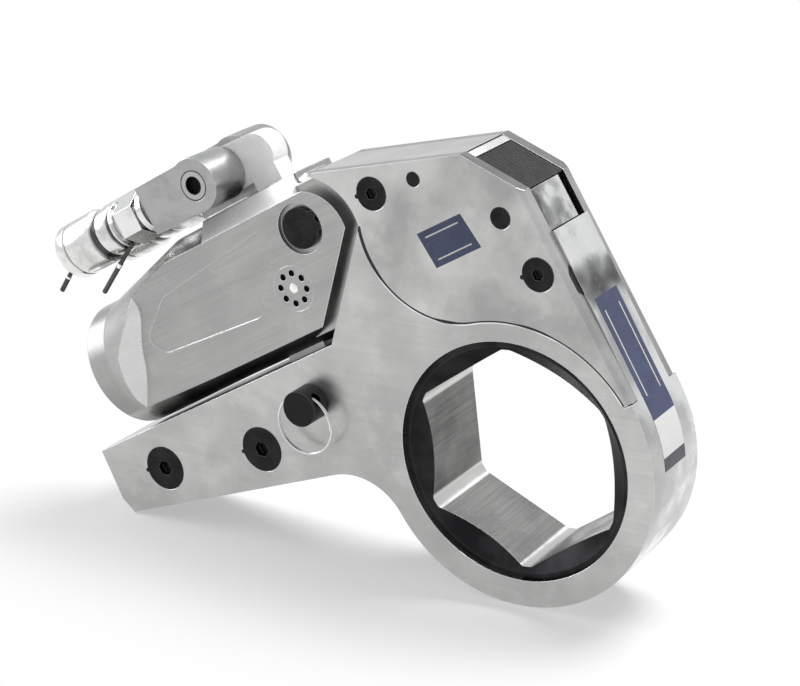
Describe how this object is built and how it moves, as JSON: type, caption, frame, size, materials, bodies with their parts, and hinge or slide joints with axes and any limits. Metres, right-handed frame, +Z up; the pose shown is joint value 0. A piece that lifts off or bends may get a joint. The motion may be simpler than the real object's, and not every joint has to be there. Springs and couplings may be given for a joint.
{
  "type": "hydraulic torque wrench",
  "caption": "Low-profile hydraulic torque wrench: flat ratchet link with a large through hexagon and reaction tail, pinned power head with piston, and a twin-arm swivel with quick couplings.",
  "frame": {"origin": "centre of the hexagon, at the middle of the link's thickness", "axes": "+Y along the hexagon's axis into the picture, +X along the floor away from the reaction tail, +Z up as the tool stands on ring and tail toe"},
  "size_m": [0.28, 0.0583, 0.1816],
  "materials": {
    "steel_brushed": "satin, brushed",
    "steel_bright": "polished",
    "black_oxide": "black oxide, semi-matt",
    "tool_steel": "hardened, ground",
    "gland_bronze": "turned bronze"
  },
  "bodies": {
    "link": {"link_housing": "steel_brushed", "side_plate_front": "steel_brushed", "side_plate_back": "steel_brushed", "top_spacer": "steel_bright", "stop_block": "black_oxide", "back_bushing": "steel_brushed", "plate_screws": "black_oxide", "tail_screws": "black_oxide", "stop_dowel": "black_oxide", "cover_pin": "black_oxide", "cylinder_body": "steel_brushed", "end_cap": "steel_brushed", "rod_gland": "gland_bronze", "hook_pin": "black_oxide", "face_plug": "steel_brushed"},
    "ratchet": {"hex_ratchet": "black_oxide", "retaining_ring": "black_oxide"},
    "lever": {"drive_plate_front": "tool_steel", "drive_plate_back": "tool_steel", "drive_pin": "tool_steel", "pawl_block": "tool_steel"},
    "drive_pawl_body": {"drive_pawl": "tool_steel"},
    "reaction_pawl_body": {"reaction_pawl": "tool_steel"},
    "piston_body": {"piston": "tool_steel", "piston_rod": "steel_bright"},
    "quick_pin_body": {"quick_pin": "tool_steel", "quick_pin_knob": "black_oxide"},
    "split_ring_body": {"split_ring": "steel_bright"},
    "swivel": {"swivel_post": "steel_bright"},
    "arms": {"arm_front": "steel_brushed", "arm_back": "steel_brushed", "cross_bolt": "steel_bright", "coupler_front": "steel_bright", "coupler_back": "steel_bright"},
    "sleeve_front_body": {"sleeve_front": "steel_bright"},
    "sleeve_back_body": {"sleeve_back": "steel_bright"}
  },
  "joints": [
    {"name": "ratchet_turn", "type": "hinge", "parent": "link", "child": "ratchet", "pos_m": [0, 0, 0], "axis": [0, 1, 0], "continuous": true},
    {"name": "rod_stroke", "type": "slide", "parent": "link", "child": "piston_body", "axis": [0.8721, 0, 0.4894], "range_m": [0, 0.038]},
    {"name": "lever_swing", "type": "hinge", "parent": "link", "child": "lever", "pos_m": [0, 0, 0], "axis": [0, 1, 0], "range_deg": [0, 22]},
    {"name": "drive_pawl_lift", "type": "slide", "parent": "lever", "child": "drive_pawl_body", "axis": [-0.5736, 0, 0.8192], "range_m": [0, 0.002], "stiffness_N_per_m": 2000, "springref_m": -0.0005},
    {"name": "reaction_pawl_lift", "type": "hinge", "parent": "link", "child": "reaction_pawl_body", "pos_m": [0.0125, 0, 0.0785], "axis": [0, -1, 0], "range_deg": [0, 3], "stiffness_Nm_per_rad": 1, "springref_deg": -114.59},
    {"name": "quick_pin_pull", "type": "slide", "parent": "link", "child": "quick_pin_body", "axis": [0, -1, 0], "range_m": [0, 0.042]},
    {"name": "split_ring_swing", "type": "hinge", "parent": "quick_pin_body", "child": "split_ring_body", "pos_m": [-0.09188, -0.0252, 0.01319], "axis": [1, 0, 0], "range_deg": [-80, 8]},
    {"name": "swivel_turn", "type": "hinge", "parent": "link", "child": "swivel", "pos_m": [-0.11663, 0, 0.0936], "axis": [-0.4894, 0, 0.8721], "continuous": true},
    {"name": "arm_fold", "type": "hinge", "parent": "swivel", "child": "arms", "pos_m": [-0.13985, 0, 0.09616], "axis": [0, 1, 0], "range_deg": [0, 180]},
    {"name": "sleeve_front_push", "type": "slide", "parent": "arms", "child": "sleeve_front_body", "axis": [0.8721, 0, 0.4894], "range_m": [0, 0.0027], "stiffness_N_per_m": 1500, "springref_m": -0.001},
    {"name": "sleeve_back_push", "type": "slide", "parent": "arms", "child": "sleeve_back_body", "axis": [0.8721, 0, 0.4894], "range_m": [0, 0.0027], "stiffness_N_per_m": 1500, "springref_m": -0.001}
  ],
  "couplings": [
    {"joint": "lever_swing", "follows": "rod_stroke", "rad_per_m": 10.104}
  ]
}
